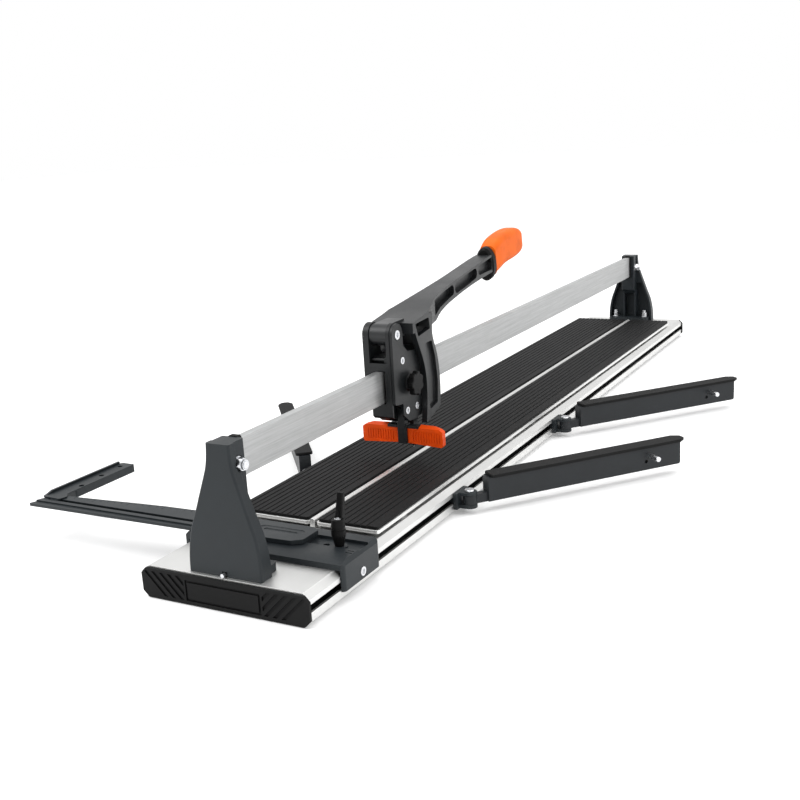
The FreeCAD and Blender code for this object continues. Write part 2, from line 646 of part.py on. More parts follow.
def support_arm():
    """Hollow-backed casting, knuckle at the origin, top rail for the rubber."""
    length = SIDE_ARM_LENGTH
    knuckle = rod_z(0, 0, KNUCKLE_RADIUS, 12.8, 24.2)
    neck = box(4, 30, -5, 5, 12.8, 24.2)
    outline = [(22, 12.8), (40, ARM_LOW), (length - 2, ARM_LOW), (length, ARM_LOW + 2),
               (length, ARM_HIGH), (22, ARM_HIGH)]
    wall = prism_xz(outline, -8, 8)
    hollow = prism_xz([(44, ARM_LOW - 1), (length - 16, ARM_LOW - 1), (length - 16, ARM_HIGH - 5),
                       (44, ARM_HIGH - 5)], -4.5, 4.5)
    body = wall.cut(hollow).fuse([knuckle, neck])
    bore = rod_z(0, 0, HINGE_PIN_RADIUS + RUN_CLEARANCE, 0, 60)
    rod_hole = rod_y(SIDE_ROD_REACH, SIDE_ROD_Z, 3.4, -20, 20)
    face_hole = rod_y(SIDE_ROD_REACH - 4, SIDE_ROD_Z - 8, 2.4, -20, 0)
    return body.cut(Part.makeCompound([bore, rod_hole, face_hole])).removeSplitter()


def support_pad():
    length = SIDE_ARM_LENGTH
    outline = [(26, -11.5), (length - 2, -11.5), (length + 8, -5), (length + 8, 5),
               (length - 2, 11.5), (26, 11.5)]
    return round_xy(outline, [3, 5, 3, 3, 5, 3], ARM_HIGH, BED_TOP)


def support_rod():
    """Round steel rod through the arm's end."""
    rod = rod_y(SIDE_ROD_REACH, SIDE_ROD_Z, 3.4, -30, 9.5)
    return rod.makeChamfer(0.6, [e for e in rod.Edges if e.BoundBox.YLength < 0.1])


# ---------------------------------------------------------------- carriage
def carriage_profile(x):
    """Side outline of the carriage casting in the YZ plane, round over its ears."""
    ear_rear = PIVOT_Y + EAR_RADIUS
    outline = [(HEAD_FRONT, PIVOT_Z), (HEAD_FRONT, 113), (-383, 109.5), (-364, 106),
               (-352, 97.5), (HEAD_REAR - 4, 97.5), (HEAD_REAR, 101.5), (HEAD_REAR, HEAD_TOP),
               (ear_rear + 5, HEAD_TOP)]
    points = [V(x, y, z) for y, z in outline]
    lines = [Part.LineSegment(a, b).toShape() for a, b in zip(points, points[1:])]
    corner_top = V(x, ear_rear, HEAD_TOP + 5)
    bend = V(x, ear_rear + 5 - 5 * math.sqrt(0.5), HEAD_TOP + 5 - 5 * math.sqrt(0.5))
    ear_back = V(x, ear_rear, PIVOT_Z)
    ear_over = V(x, PIVOT_Y, PIVOT_Z + EAR_RADIUS)
    curves = [Part.Arc(points[-1], bend, corner_top).toShape(),
              Part.LineSegment(corner_top, ear_back).toShape(),
              Part.Arc(ear_back, ear_over, points[0]).toShape()]
    return Part.Face(Part.Wire(lines + curves))


def carriage_body():
    block = carriage_profile(-HEAD_HALF_WIDTH).extrude(V(HEAD_HALF_WIDTH + COVER_INNER, 0, 0))
    left_edges = [e for e in block.Edges if e.BoundBox.XMax < 0.01 - HEAD_HALF_WIDTH]
    block = block.makeFillet(1.5, left_edges)
    cuts = [
        box(SLOT_LEFT, SLOT_RIGHT, -400, -290, BAR_BOTTOM - 0.6, BAR_TOP + 0.6),
        box(-12, 12, -400, -350, 187, 240),
        box(-HEAD_HALF_WIDTH - 1, -12, -400, -355, 90, 126),
        box(6, COVER_INNER + 1, CHANNEL_FRONT, CHANNEL_REAR, 90, HEAD_TOP - 3),
        box(-12, COVER_INNER + 1, PUSH_PIN_Y - 4, PUSH_PIN_Y + 4, BAR_TOP - 0.5, 190.5),
        box(6, COVER_INNER + 1, CHANNEL_FRONT, -370.5, HEAD_TOP - 4, 190.5),
        box(-12, 12, -400, -380, 181, 187.5),
    ]
    for y in (ROLLER_FRONT_Y, ROLLER_REAR_Y):
        cuts.append(box(-4.8, 4.8, y - 8.2, y + 8.2, BAR_TOP - 1, HEAD_TOP - 1.2))
        cuts.append(rod_x(y, BAR_TOP + ROLLER_RADIUS, ROLLER_AXLE_RADIUS, -11, AXLE_END))
    for y in (LOWER_FRONT_Y, ROLLER_REAR_Y):
        cuts.append(box(-4.8, 4.8, y - 8.2, y + 8.2, BAR_BOTTOM - 16, BAR_BOTTOM + 1))
        cuts.append(rod_x(y, BAR_BOTTOM - ROLLER_RADIUS, ROLLER_AXLE_RADIUS, -11, AXLE_END))
    cuts.append(rod_x(PIVOT_Y, PIVOT_Z, 4.0, -30, 30))
    return block.cut(Part.makeCompound(cuts)).removeSplitter()


COVER_SCREWS = ((-362.0, 180.4), (-355.5, 114.5), (-329.4, 114.2))
COVER_SCREW_RADIUS = 4.8


def carriage_cover():
    """Plate on the right of the carriage, ear lobe on top, corner stepped at the bottom."""
    outline = [(-386, 128), (-366, 125.5), (-366, 110), (-352, 99.5), (-330, 97.8), (-318.5, 106),
               (-318.5, 186.5), (-348, 190), (-358, 199), (-358, PIVOT_Z), (-386, PIVOT_Z)]
    radii = [2, 2, 2, 3, 3, 2, 4, 6, 6, 0.5, 0.5]
    plate = round_yz(outline, radii, COVER_INNER, HEAD_HALF_WIDTH)
    lobe = rod_x(PIVOT_Y, PIVOT_Z, EAR_RADIUS - 1, COVER_INNER, HEAD_HALF_WIDTH)
    plate = plate.fuse(lobe).removeSplitter()
    boss = Part.makeCone(11, 9.5, 1.5, V(HEAD_HALF_WIDTH, KNOB_Y, KNOB_Z), V(1, 0, 0))
    plate = plate.fuse(boss)
    cuts = [rod_x(KNOB_Y, KNOB_Z, 4.0 + RUN_CLEARANCE, 10, 30),
            rod_x(PIVOT_Y, PIVOT_Z, 4.0, 10, 30),
            rod_x(PIVOT_Y, PIVOT_Z, 6.4, HEAD_HALF_WIDTH - 2.5, 30)]
    for y, z in COVER_SCREWS:
        cuts.append(rod_x(y, z, 2.6, 10, 30))
        cuts.append(rod_x(y, z, COVER_SCREW_RADIUS + 0.5, HEAD_HALF_WIDTH - 2.5, 30))
    return plate.cut(Part.makeCompound(cuts)).removeSplitter()


def cover_screws():
    screws = []
    for y, z in COVER_SCREWS:
        head = rod_x(y, z, COVER_SCREW_RADIUS, HEAD_HALF_WIDTH - 2.5, HEAD_HALF_WIDTH + 0.4)
        shank = rod_x(y, z, 2.6, COVER_INNER - (5 if y < -356 else 0.0), HEAD_HALF_WIDTH - 2.5)
        socket = hexagon_x(y, z, 4.5, HEAD_HALF_WIDTH - 1.6, HEAD_HALF_WIDTH + 2)
        screws.append(head.fuse(shank).cut(socket))
    return screws


def handle_pivot_pin():
    pin = rod_x(PIVOT_Y, PIVOT_Z, 4.0, -HEAD_HALF_WIDTH, HEAD_HALF_WIDTH - 2.5)
    head = rod_x(PIVOT_Y, PIVOT_Z, 6.0, HEAD_HALF_WIDTH - 2.5, HEAD_HALF_WIDTH + 0.6)
    socket = hexagon_x(PIVOT_Y, PIVOT_Z, 5.5, HEAD_HALF_WIDTH - 1.6, HEAD_HALF_WIDTH + 2)
    return pin.fuse(head).cut(socket)


ROLLERS = (
    ("roller_upper_front", ROLLER_FRONT_Y, BAR_TOP + ROLLER_RADIUS),
    ("roller_upper_rear", ROLLER_REAR_Y, BAR_TOP + ROLLER_RADIUS),
    ("roller_lower_front", LOWER_FRONT_Y, BAR_BOTTOM - ROLLER_RADIUS),
    ("roller_lower_rear", ROLLER_REAR_Y, BAR_BOTTOM - ROLLER_RADIUS),
)


def roller(y, z):
    body = rod_x(y, z, ROLLER_RADIUS - 0.02, -4.4, 4.4)
    body = body.makeChamfer(0.5, [e for e in body.Edges if e.BoundBox.XLength < 0.1])
    return body.cut(rod_x(y, z, ROLLER_AXLE_RADIUS + RUN_CLEARANCE, -10, 10))


def roller_axles():
    return [rod_x(y, z, ROLLER_AXLE_RADIUS, -11, AXLE_END) for _, y, z in ROLLERS]


# ---------------------------------------------------------------- breaker foot
def breaker_plunger():
    """Flat push bar beside the guide bar, stepped back at the bottom to carry the foot."""
    x0 = CUT_X - 4.8
    x1 = CUT_X + 4.8
    top = PUSH_PIN_Z + PUSH_PIN_RADIUS + 0.6
    outline = [(-383.5, top), (-371.5, top), (-371.5, 134), (-348.5, 124), (-348.5, 92),
               (-358, 92), (-358, 118), (-383.5, 130)]
    bar = prism_yz(outline, x0, x1)
    post = round_xz(rectangle(CUT_X - FOOT_INNER, CUT_X + FOOT_INNER, 70, 96), 1.2,
                    FOOT_FRONT - 3, FOOT_REAR)
    shelf = box(CUT_X - FOOT_SHELF_REACH + 0.3, CUT_X + FOOT_SHELF_REACH - 0.3,
                FOOT_FRONT - 1, FOOT_REAR, FOOT_SHELF_LOW, FOOT_SHELF_LOW + 3.6)
    hole = rod_x(PUSH_PIN_Y, PUSH_PIN_Z, PUSH_PIN_RADIUS, -20, 20)
    return bar.fuse([post, shelf]).cut(hole).removeSplitter()


def breaker_cross_pin():
    return rod_x(PUSH_PIN_Y, PUSH_PIN_Z, PUSH_PIN_RADIUS, -11.4, CUT_X + 4.8)


def breaker_wing(side):
    """Ribbed plastic shoe beside the score line, highest along its rear edge."""
    outer = FOOT_SPANS[side]
    outline = [(FOOT_INNER, 70.7), (outer - 2, 67.8), (outer, 70.3), (outer, 88.0),
               (outer - 4, 91.0), (outer - 13, 93.6), (FOOT_SHELF_REACH, 94.3),
               (FOOT_SHELF_REACH, FOOT_SHELF_LOW), (FOOT_INNER, FOOT_SHELF_LOW)]
    block = prism([V(CUT_X + side * x, FOOT_FRONT, z) for x, z in outline],
                  V(0, FOOT_REAR - FOOT_FRONT, 0))
    slope = prism_yz([(FOOT_FRONT - 1, 90.9), (FOOT_REAR + 1, 94.7), (FOOT_REAR + 1, 99),
                      (FOOT_FRONT - 1, 99)], -70, 90)
    grooves = []
    for i in range(11):
        x = CUT_X + side * (FOOT_INNER + 8 + 3.7 * i)
        grooves.append(box(x - 0.6, x + 0.6, FOOT_FRONT - 1, FOOT_FRONT + 0.8, 72.5, 86.5))
    return block.cut(Part.makeCompound([slope] + grooves))


# ---------------------------------------------------------------- scoring wheel
def wheel_holder():
    """Flat tool bar beside the guide bar, forked round the wheel at the bottom."""
    x0 = CUT_X - 4.8
    x1 = CUT_X + 4.8
    outline = [(-354.5, 140), (-354.5, 169), (-321, 169), (-321, 84), (-318.5, 80),
               (-318.5, 66), (-322, 60.5), (-330, 60.5), (-333.5, 66), (-333.5, 101),
               (-345.5, 109), (-345.5, 133)]
    bar = prism_yz(outline, x0, x1)
    gap = box(CUT_X - 2.0, CUT_X + 2.0, -340, -310, 55, 76)
    axle = rod_x(WHEEL_Y, TILE_TOP + WHEEL_RADIUS, 2.0, 0, 30)
    return bar.cut(gap).cut(axle)


def scoring_wheel():
    """Carbide disc with a bevelled cutting edge."""
    z = TILE_TOP + WHEEL_RADIUS
    half = Part.makeCone(WHEEL_RADIUS, WHEEL_RADIUS - 1.6, 1.5, V(CUT_X, WHEEL_Y, z), V(1, 0, 0))
    other = Part.makeCone(WHEEL_RADIUS, WHEEL_RADIUS - 1.6, 1.5, V(CUT_X, WHEEL_Y, z), V(-1, 0, 0))
    return half.fuse(other).cut(rod_x(WHEEL_Y, z, 2.0 + RUN_CLEARANCE, 0, 30)).removeSplitter()


def wheel_axle():
    return rod_x(WHEEL_Y, TILE_TOP + WHEEL_RADIUS, 2.0, CUT_X - 4.8, CUT_X + 4.8)


def height_knob():
    """Lobed knob whose screw clamps the tool bar through the cover."""
    shaft = rod_x(KNOB_Y, KNOB_Z, 4.0, CUT_X + 5.1, 26)
    hub = rod_x(KNOB_Y, KNOB_Z, 7.5, HEAD_HALF_WIDTH + 1.8, 27)
    disc = rod_x(KNOB_Y, KNOB_Z, 15.5, 26.5, 33.5)
    flutes = []
    lobes = 7
    for i in range(lobes):
        angle = 2 * math.pi * i / lobes
        flutes.append(rod_x(KNOB_Y + 18.8 * math.cos(angle), KNOB_Z + 18.8 * math.sin(angle), 5.6,
                            25, 35))
    disc = disc.cut(Part.makeCompound(flutes))
    rim = [e for e in disc.Edges if abs(e.BoundBox.XMin - 33.5) < 0.01]
    disc = disc.makeFillet(1.5, rim)
    return shaft.fuse([hub, disc]).removeSplitter()


# ---------------------------------------------------------------- handle
HANDLE_TOP = [(-352.0, 223.5), (-340.0, 226.0), (-320.0, 229.0), (-300.0, 232.8),
              (-280.0, 237.8), (-260.0, 242.6), (-220.0, 249.3), (-180.0, 254.8), (-140.0, 260.5),
              (-100.0, 266.5), (-56.0, 272.0)]
HANDLE_UNDER = [(-54.0, 246.5), (-94.0, 243.0), (-148.0, 236.5), (-186.0, 230.5), (-223.0, 223.6),
                (-240.0, 219.0), (-254.0, 213.4)]
HOOD_UNDERSIDE = 211.5
ARM_PLAN = [(-300.0, 29.5), (-285.0, 25.0), (-260.0, 18.8), (-235.0, 15.6), (-200.0, 13.8),
            (-150.0, 12.9), (-52.0, 12.0)]


def smooth_edge(points):
    curve = Part.BSplineCurve()
    curve.interpolate(points)
    return curve.toShape()


def handle_side_face(x):
    """Side outline of the arm and hood in the YZ plane."""
    top = [V(x, y, z) for y, z in HANDLE_TOP]
    under = [V(x, y, z) for y, z in HANDLE_UNDER]
    inner = [V(x, -254.0, 213.4), V(x, -260.0, HOOD_UNDERSIDE), V(x, -346.0, HOOD_UNDERSIDE)]
    edges = [smooth_edge(top), Part.LineSegment(top[-1], under[0]).toShape(), smooth_edge(under)]
    edges.append(Part.LineSegment(inner[0], inner[1]).toShape())
    edges.append(Part.LineSegment(inner[1], inner[2]).toShape())
    edges.append(Part.LineSegment(inner[2], top[0]).toShape())
    return Part.Face(Part.Wire(Part.__sortEdges__(edges)))


def handle_plan_face(z):
    """Top view outline: wide hood that narrows to the arm."""
    right = [V(w, y, z) for y, w in ARM_PLAN]
    left = [V(-w, y, z) for y, w in ARM_PLAN]
    edges = [smooth_edge(right), smooth_edge(left)]
    edges.append(Part.LineSegment(right[-1], left[-1]).toShape())
    front_right = V(CHEEK_OUTER, -346.0, z)
    front_left = V(-CHEEK_OUTER, -346.0, z)
    edges.append(Part.LineSegment(right[0], front_right).toShape())
    edges.append(Part.LineSegment(left[0], front_left).toShape())
    edges.append(Part.LineSegment(front_right, front_left).toShape())
    return Part.Face(Part.Wire(Part.__sortEdges__(edges)))


CHEEK_FRONT = [(-344.0, 224.2), (-341.0, 213.5), (-330.5, 190.9), (-320.0, 167.0),
               (-315.8, 145.8), (-316.0, 124.6), (-321.5, 89.3)]
CHEEK_REAR = [(-280.1, 102.5), (-278.3, 115.2), (-278.2, 147.7), (-285.8, 181.6),
              (-293.5, 204.5), (-292.4, 216.5), (-292.0, 230.0)]


def cheek(side):
    """Side plate of the fork that straddles the carriage, pocketed on its outer face."""
    x0, x1 = sorted((side * CHEEK_INNER, side * CHEEK_OUTER))
    front = [V(x0, y, z) for y, z in CHEEK_FRONT]
    rear = [V(x0, y, z) for y, z in CHEEK_REAR]
    edges = [smooth_edge(front), Part.LineSegment(front[-1], rear[0]).toShape(),
             smooth_edge(rear), Part.LineSegment(rear[-1], front[0]).toShape()]
    plate = Part.Face(Part.Wire(Part.__sortEdges__(edges))).extrude(V(x1 - x0, 0, 0))
    p0, p1 = sorted((side * (CHEEK_OUTER - 4.5), side * (CHEEK_OUTER + 1)))
    pocket = round_yz([(-316.5, 193.3), (-296.5, 193.6), (-288.8, 171.2), (-284.5, 138.3),
                       (-287.5, 109.1), (-308.7, 104.6), (-312.6, 124), (-312.8, 166.3)],
                      [3, 3, 12, 20, 3, 2, 12, 20], p0, p1)
    w0, w1 = sorted((side * 12.0, side * (CHEEK_OUTER + 1)))
    window = round_yz([(-339, 222.6), (-302, 224.6), (-299.5, 209.8), (-332.5, 205.4)], 2, w0, w1)
    return plate, window, pocket


def arm_pockets(side):
    """Recesses between the flanges of the arm."""
    p0, p1 = sorted((side * 5.0, side * 40.0))
    first = round_yz([(-262, 218), (-239, 226), (-190.5, 236), (-190.5, 250), (-262, 239)],
                     [2, 20, 6.5, 6.5, 2], p0, p1)
    second = round_yz([(-187, 234.6), (-150, 240), (-111, 247), (-111, 261.5), (-187, 250.6)],
                      [7, 20, 7, 7, 7], p0, p1)
    third = round_yz([(-106, 248.5), (-56.5, 250.5), (-56.5, 268.5), (-106, 262)],
                     [6, 0.5, 0.5, 6], p0, p1)
    return [first, second, third]


def handle_casting():
    """Lever: nose between the ears, hood, forked cheeks and an I-section arm."""
    arm = handle_side_face(-40.0).extrude(V(80, 0, 0))
    arm = arm.common(handle_plan_face(150.0).extrude(V(0, 0, 200)))
    ear_room = rod_x(PIVOT_Y, PIVOT_Z, 16.5, -40, 40)
    nose = rod_x(PIVOT_Y, PIVOT_Z, NOSE_RADIUS, -11.7, 11.7)
    neck = prism_yz([(PIVOT_Y, PIVOT_Z + NOSE_RADIUS), (-335, 228.6), (-335, 207.0),
                     (PIVOT_Y, PIVOT_Z - 8)], -11.7, 11.7)
    right_cheek, right_window, right_pocket = cheek(1)
    left_cheek, left_window, left_pocket = cheek(-1)
    body = arm.fuse([right_cheek, left_cheek]).cut(ear_room)
    web = box(-CHEEK_INNER - 0.5, CHEEK_INNER + 0.5, -295, -288, 178, 213)
    body = body.fuse([nose, neck, web])
    cuts = [right_window, left_window, right_pocket, left_pocket]
    cuts += arm_pockets(1) + arm_pockets(-1)
    cuts.append(rod_x(PIVOT_Y, PIVOT_Z, 4.0 + RUN_CLEARANCE, -40, 40))
    return body.cut(Part.makeCompound(cuts)).removeSplitter()


def oval_wire(y, z, half_width, half_height, tilt):
    """Ellipse across the handle's line at (y, z)."""
    circle = Part.makeCircle(1.0, V(0, 0, 0), V(0, 1, 0))
    matrix = FreeCAD.Matrix()
    matrix.scale(half_width, 1, half_height)
    oval = circle.transformGeometry(matrix)
    oval.rotate(V(0, 0, 0), V(1, 0, 0), tilt)
    oval.translate(V(0, y, z))
    return Part.Wire(oval.Edges)


def handle_collar():
    """Oval guard between the arm and the grip."""
    sections = [(-56, 256.9, 11.5, 21.8), (-53, 257.3, 14.5, 25.2), (-44, 258.5, 14.5, 25.2),
                (-41, 258.9, 12.5, 22.4)]
    wires = [oval_wire(y, z, a, b, GRIP_TILT) for y, z, a, b in sections]
    return Part.makeLoft(wires, True, True)


def soft_box_wire(y, z, half_width, half_height, tilt):
    """Rounded rectangle across the handle's line at (y, z)."""
    radius = 0.72 * min(half_width, half_height)
    corners = [V(x, 0, h) for x, h in rectangle(-half_width, half_width, -half_height, half_height)]
    wire = rounded(corners, radius)
    wire.rotate(V(0, 0, 0), V(1, 0, 0), tilt)
    wire.translate(V(0, y, z))
    return wire


def handle_grip():
    """Rubber grip: flat-sided, fullest in its front half, rounded off at the end."""
    sections = [(-41, 261.0, 13.0, 22.6), (-30, 267.0, 14.0, 23.4), (-10, 273.0, 14.6, 23.6),
                (21, 277.4, 15.0, 23.6), (46, 279.2, 14.8, 22.0), (58, 279.8, 13.9, 19.4),
                (64.5, 280.0, 12.2, 16.2), (67.5, 280.0, 9.8, 12.5)]
    wires = [soft_box_wire(y, z, a, b, GRIP_TILT) for y, z, a, b in sections]
    return Part.makeLoft(wires, True, False)


# ---------------------------------------------------------------- write every piece
def main():
    os.makedirs("parts", exist_ok=True)

    save("base_extrusion", base_extrusion())
    save("front_end_cap", end_cap())
    save("rear_end_cap", far_end(end_cap()))
    save("rubber_feet", *rubber_feet())

    save("front_pylon", pylon())
    save("rear_pylon", far_end(pylon()))
    save("guide_bar", guide_bar())
    save("pylon_cross_bolts", cross_bolt(), far_end(cross_bolt()))
    save("pylon_cross_nuts", *(cross_nut() + [far_end(n) for n in cross_nut()]))
    save("pylon_base_bolts", *(pylon_base_bolts() + [far_end(b) for b in pylon_base_bolts()]))
    save("bar_bumpers", bar_bumper(), far_end(bar_bumper()))

    save("breaking_strip", breaking_strip())
    for side, (x0, x1) in BED_EDGES.items():
        save("bed_plate_" + side, bed_plate(x0, x1))
        save("bed_pad_" + side, bed_pad(x0, x1))
        save("bed_springs_" + side, *bed_springs(x0, x1))

    save("fence_saddle", fence_saddle())
    save("saddle_screws", *saddle_screws())
    save("fence_pivot_pin", fence_pivot_pin())
    save("angle_plate", angle_plate())
    save("ruler_rail", ruler_rail())
    save("side_stop", side_stop())
    save("clamp_lever", clamp_lever())
    save("clamp_lever_screw", clamp_lever_screw())

    brackets = []
    pins = []
    for label, y in zip(("front", "rear"), SIDE_ARM_PIVOTS_Y):
        brackets += [arm_bracket(y), mirror_x(arm_bracket(y))]
        pins += [arm_hinge_pin(y), mirror_x(arm_hinge_pin(y))]
        for name, make in (("support_arm_", support_arm), ("support_pad_", support_pad),
                           ("support_rod_", support_rod)):
            placed = place_arm(make(), y)
            save(name + label + "_right", placed)
            save(name + label + "_left", mirror_x(placed))
    save("arm_brackets", *brackets)
    save("arm_hinge_pins", *pins)

    save("carriage_body", carriage_body())
    save("carriage_cover", carriage_cover())
    save("cover_screws", *cover_screws())
    save("handle_pivot_pin", handle_pivot_pin())
    save("roller_axles", *roller_axles())
    for name, y, z in ROLLERS:
        save(name, roller(y, z))

    save("breaker_plunger", breaker_plunger())
    save("breaker_cross_pin", breaker_cross_pin())
    save("breaker_wing_left", breaker_wing(-1))
    save("breaker_wing_right", breaker_wing(1))

    save("wheel_holder", wheel_holder())
    save("scoring_wheel", scoring_wheel())
    save("wheel_axle", wheel_axle())
    save("height_knob", height_knob())

    save("handle_casting", handle_casting())
    save("handle_collar", handle_collar())
    save("handle_grip", handle_grip())


main()
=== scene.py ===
import json
import math

import bmesh
import bpy
from mathutils import Matrix, Vector


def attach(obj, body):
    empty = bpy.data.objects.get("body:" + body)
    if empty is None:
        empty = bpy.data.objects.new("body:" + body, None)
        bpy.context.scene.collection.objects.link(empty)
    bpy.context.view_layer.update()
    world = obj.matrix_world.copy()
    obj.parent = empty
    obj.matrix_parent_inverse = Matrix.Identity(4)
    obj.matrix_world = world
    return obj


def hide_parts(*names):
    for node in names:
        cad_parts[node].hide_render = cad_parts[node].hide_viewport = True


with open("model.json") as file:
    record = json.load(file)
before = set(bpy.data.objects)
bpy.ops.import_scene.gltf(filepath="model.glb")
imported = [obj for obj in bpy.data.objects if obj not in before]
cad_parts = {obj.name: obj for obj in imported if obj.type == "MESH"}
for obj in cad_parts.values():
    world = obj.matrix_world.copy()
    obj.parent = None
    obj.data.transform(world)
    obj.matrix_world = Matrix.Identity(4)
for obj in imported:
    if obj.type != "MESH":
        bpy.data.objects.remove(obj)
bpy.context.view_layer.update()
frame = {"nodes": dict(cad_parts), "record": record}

NODES = frame["nodes"]
BODY_OF = {node: body
           for body, members in frame["record"]["behaviour"]["bodies"].items()
           for node in members}
MM = 0.001


# ------------------------------------------------------------------ materials
def new_material(name):
    """An empty node material with its Principled shader and its object coordinates."""
    material = bpy.data.materials.new(name)
    material.use_nodes = True
    tree = material.node_tree
    shader = tree.nodes["Principled BSDF"]
    coords = tree.nodes.new("ShaderNodeTexCoord").outputs["Object"]
    return material, tree, shader, coords


def noise(tree, coords, scale, detail=3.0, roughness=0.55, stretch=None):
    """Noise whose scale is features per metre, stretched along one axis if asked."""
    node = tree.nodes.new("ShaderNodeTexNoise")
    node.inputs["Scale"].default_value = scale
    node.inputs["Detail"].default_value = detail
    node.inputs["Roughness"].default_value = roughness
    if stretch:
        mapping = tree.nodes.new("ShaderNodeMapping")
        mapping.inputs["Scale"].default_value = stretch
        tree.links.new(coords, mapping.inputs["Vector"])
        tree.links.new(mapping.outputs["Vector"], node.inputs["Vector"])
    else:
        tree.links.new(coords, node.inputs["Vector"])
    return node.outputs["Fac"]


def ramp(tree, factor, low, high, start=0.0, end=1.0):
    """Colour ramp between two colours or two greys."""
    node = tree.nodes.new("ShaderNodeValToRGB")
    stops = node.color_ramp.elements
    stops[0].position = start
    stops[1].position = end
    stops[0].color = (*low, 1.0) if isinstance(low, tuple) else (low, low, low, 1.0)
    stops[1].color = (*high, 1.0) if isinstance(high, tuple) else (high, high, high, 1.0)
    tree.links.new(factor, node.inputs["Fac"])
    return node.outputs["Color"]


def spread(tree, factor, low, high):
    """A value that runs from low to high as factor runs over its middle range."""
    node = tree.nodes.new("ShaderNodeMapRange")
    node.inputs["From Min"].default_value = 0.3
    node.inputs["From Max"].default_value = 0.7
    node.inputs["To Min"].default_value = low
    node.inputs["To Max"].default_value = high
    tree.links.new(factor, node.inputs["Value"])
    return node.outputs["Result"]


def bump(tree, shader, height, distance, strength):
    """Surface grain of a given height in metres."""
    node = tree.nodes.new("ShaderNodeBump")
    node.inputs["Strength"].default_value = strength
    node.inputs["Distance"].default_value = distance
    tree.links.new(height, node.inputs["Height"])
    tree.links.new(node.outputs["Normal"], shader.inputs["Normal"])


def tint(colour, factor):
    """A lighter or darker version of a colour."""
    return tuple(min(1.0, c * factor) for c in colour)


def coated_metal(name, colour, roughness, specular):
    """Powder-coated casting: fine orange peel, cloudy sheen."""
    material, tree, shader, coords = new_material(name)
    cloud = noise(tree, coords, 28.0, 4.0)
    grain = noise(tree, coords, 1500.0, 2.0)
    tree.links.new(ramp(tree, cloud, tint(colour, 0.86), tint(colour, 1.16), 0.3, 0.7),
                   shader.inputs["Base Color"])
    tree.links.new(spread(tree, cloud, roughness - 0.05, roughness + 0.07),
                   shader.inputs["Roughness"])
    shader.inputs["Specular IOR Level"].default_value = specular
    bump(tree, shader, grain, 0.00012, 0.55)
    return material


def inside(tree, value, low, high):
    """1 where a value lies between low and high, 0 elsewhere."""
    above = tree.nodes.new("ShaderNodeMath")
    above.operation = "GREATER_THAN"
    above.inputs[1].default_value = low
    below = tree.nodes.new("ShaderNodeMath")
    below.operation = "LESS_THAN"
    below.inputs[1].default_value = high
    both = tree.nodes.new("ShaderNodeMath")
    both.operation = "MULTIPLY"
    tree.links.new(value, above.inputs[0])
    tree.links.new(value, below.inputs[0])
    tree.links.new(above.outputs["Value"], both.inputs[0])
    tree.links.new(below.outputs["Value"], both.inputs[1])
    return both.outputs["Value"]


def extruded_aluminium(name, colour, roughness):
    """Anodised profile with fine die lines along its length and painted shade darkening the
    inside of its side slots.
    """
    material, tree, shader, coords = new_material(name)
    lines = noise(tree, coords, 900.0, 3.0, 0.6, (1.0, 0.006, 1.0))
    cloud = noise(tree, coords, 14.0, 3.0)
    # Painted shade: faces within the slot half width and between the slot heights are mixed to
    # a near-black colour that stands in for the shade inside the side slots.
    axes = tree.nodes.new("ShaderNodeSeparateXYZ")
    tree.links.new(coords, axes.inputs["Vector"])
    across = inside(tree, axes.outputs["X"], -SLOT_DEEP, SLOT_DEEP)
    height = inside(tree, axes.outputs["Z"], SLOT_LOW, SLOT_HIGH)
    slot_shade_mask = tree.nodes.new("ShaderNodeMath")
    slot_shade_mask.operation = "MULTIPLY"
    tree.links.new(across, slot_shade_mask.inputs[0])
    tree.links.new(height, slot_shade_mask.inputs[1])
    blend = tree.nodes.new("ShaderNodeMix")
    blend.data_type = "RGBA"
    blend.inputs["B"].default_value = SLOT_PAINTED_SHADE
    tree.links.new(slot_shade_mask.outputs["Value"], blend.inputs["Factor"])
    tree.links.new(ramp(tree, cloud, tint(colour, 0.95), tint(colour, 1.04), 0.3, 0.7),
                   blend.inputs["A"])
    tree.links.new(blend.outputs["Result"], shader.inputs["Base Color"])
    tree.links.new(spread(tree, lines, roughness - 0.05, roughness + 0.08),
                   shader.inputs["Roughness"])
    shader.inputs["Metallic"].default_value = 1.0
    bump(tree, shader, lines, 0.00005, 0.4)
    return material


def drawn_steel(name, colour, roughness, stretch):
    """Bright drawn steel: long fine scratches, mottled haze."""
    material, tree, shader, coords = new_material(name)
    scratch = noise(tree, coords, 700.0, 4.0, 0.65, stretch)
    haze = noise(tree, coords, 60.0, 6.0, 0.7)
    mix = tree.nodes.new("ShaderNodeMix")
    mix.data_type = "RGBA"
    mix.blend_type = "MULTIPLY"
    mix.inputs["Factor"].default_value = 0.6
    tree.links.new(ramp(tree, scratch, tint(colour, 0.9), tint(colour, 1.1), 0.35, 0.65),
                   mix.inputs["A"])
    tree.links.new(ramp(tree, haze, 0.86, 1.0, 0.35, 0.6), mix.inputs["B"])
    tree.links.new(mix.outputs["Result"], shader.inputs["Base Color"])
    tree.links.new(spread(tree, haze, roughness - 0.06, roughness + 0.1),
                   shader.inputs["Roughness"])
    shader.inputs["Metallic"].default_value = 1.0
    bump(tree, shader, scratch, 0.00004, 0.4)
    return material


def moulded(name, colour, roughness, grain_scale, grain_height, specular):
    """Moulded rubber or plastic with a spark-eroded grain."""
    material, tree, shader, coords = new_material(name)
    cloud = noise(tree, coords, 45.0, 4.0)
    grain = noise(tree, coords, grain_scale, 2.0, 0.6)
    tree.links.new(ramp(tree, cloud, tint(colour, 0.85), tint(colour, 1.12), 0.3, 0.7),
                   shader.inputs["Base Color"])
    tree.links.new(spread(tree, grain, roughness - 0.06, roughness + 0.08),
                   shader.inputs["Roughness"])
    shader.inputs["Specular IOR Level"].default_value = specular
    bump(tree, shader, grain, grain_height, 0.6)
    return material
